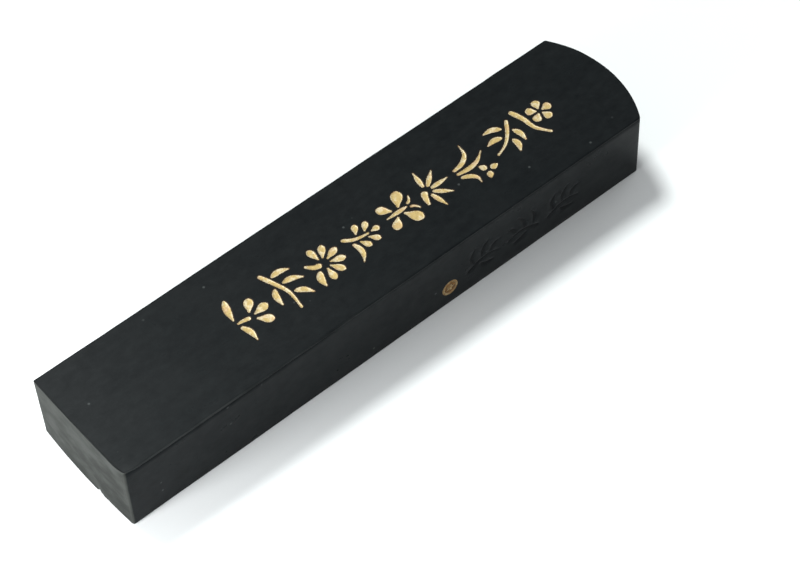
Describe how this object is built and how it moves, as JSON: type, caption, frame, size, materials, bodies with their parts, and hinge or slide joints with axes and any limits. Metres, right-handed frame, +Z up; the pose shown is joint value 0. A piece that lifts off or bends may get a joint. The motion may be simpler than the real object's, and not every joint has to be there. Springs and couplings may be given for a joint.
{
  "type": "ink stick",
  "caption": "Rectangular soot ink stick with one flat grinding end and one arched end, gilt-filled garden ornaments on its top face and a gilt seal on one side.",
  "frame": {"origin": "centre of the bottom of the bounding box: the middle of the resting face", "axes": "+X from the flat grinding end to the arched end, +Y from the sealed side to the plain side, +Z up, out of the ornamented face"},
  "size_m": [0.1194, 0.0254, 0.015],
  "materials": {
    "ink": "matt black pressed soot and glue with a faint satin sheen, rougher and greyer on the ground end",
    "gilt": "gold powder paint, satin, slightly uneven"
  },
  "bodies": {
    "root": {"ink_body": "ink", "bamboo_leaf_1_gilt": "gilt", "bamboo_leaf_2_gilt": "gilt", "bamboo_leaf_3_gilt": "gilt", "bamboo_leaf_4_gilt": "gilt", "bamboo_stem_gilt": "gilt", "butterfly_body_gilt": "gilt", "butterfly_feeler_1_gilt": "gilt", "butterfly_feeler_2_gilt": "gilt", "butterfly_forewing_1_gilt": "gilt", "butterfly_forewing_2_gilt": "gilt", "butterfly_hindwing_1_gilt": "gilt", "butterfly_hindwing_2_gilt": "gilt", "daisy_leaf_gilt": "gilt", "daisy_petal_1_gilt": "gilt", "daisy_petal_2_gilt": "gilt", "daisy_petal_3_gilt": "gilt", "daisy_petal_4_gilt": "gilt", "daisy_petal_5_gilt": "gilt", "daisy_petal_6_gilt": "gilt", "daisy_stem_gilt": "gilt", "lotus_leaf_gilt": "gilt", "lotus_petal_1_gilt": "gilt", "lotus_petal_2_gilt": "gilt", "lotus_petal_3_gilt": "gilt", "lotus_ripple_gilt": "gilt", "lotus_stem_gilt": "gilt", "orchid_blade_1_gilt": "gilt", "orchid_blade_2_gilt": "gilt", "orchid_blade_3_gilt": "gilt", "orchid_petal_1_gilt": "gilt", "orchid_petal_2_gilt": "gilt", "orchid_petal_3_gilt": "gilt", "pine_needle_1_gilt": "gilt", "pine_needle_2_gilt": "gilt", "pine_needle_3_gilt": "gilt", "pine_needle_4_gilt": "gilt", "pine_needle_5_gilt": "gilt", "pine_twig_gilt": "gilt", "plum_petal_1_gilt": "gilt", "plum_petal_2_gilt": "gilt", "plum_petal_3_gilt": "gilt", "plum_petal_4_gilt": "gilt", "plum_petal_5_gilt": "gilt", "plum_twig_gilt": "gilt", "reed_leaf_1_gilt": "gilt", "reed_leaf_2_gilt": "gilt", "reed_leaf_3_gilt": "gilt", "reed_leaf_4_gilt": "gilt", "reed_stem_gilt": "gilt", "seal_flower_gilt": "gilt", "seal_ring_gilt": "gilt", "wheat_blade_gilt": "gilt", "wheat_grain_1_gilt": "gilt", "wheat_grain_2_gilt": "gilt", "wheat_grain_3_gilt": "gilt", "wheat_grain_4_gilt": "gilt", "wheat_grain_5_gilt": "gilt", "wheat_stem_gilt": "gilt"}
  },
  "joints": []
}
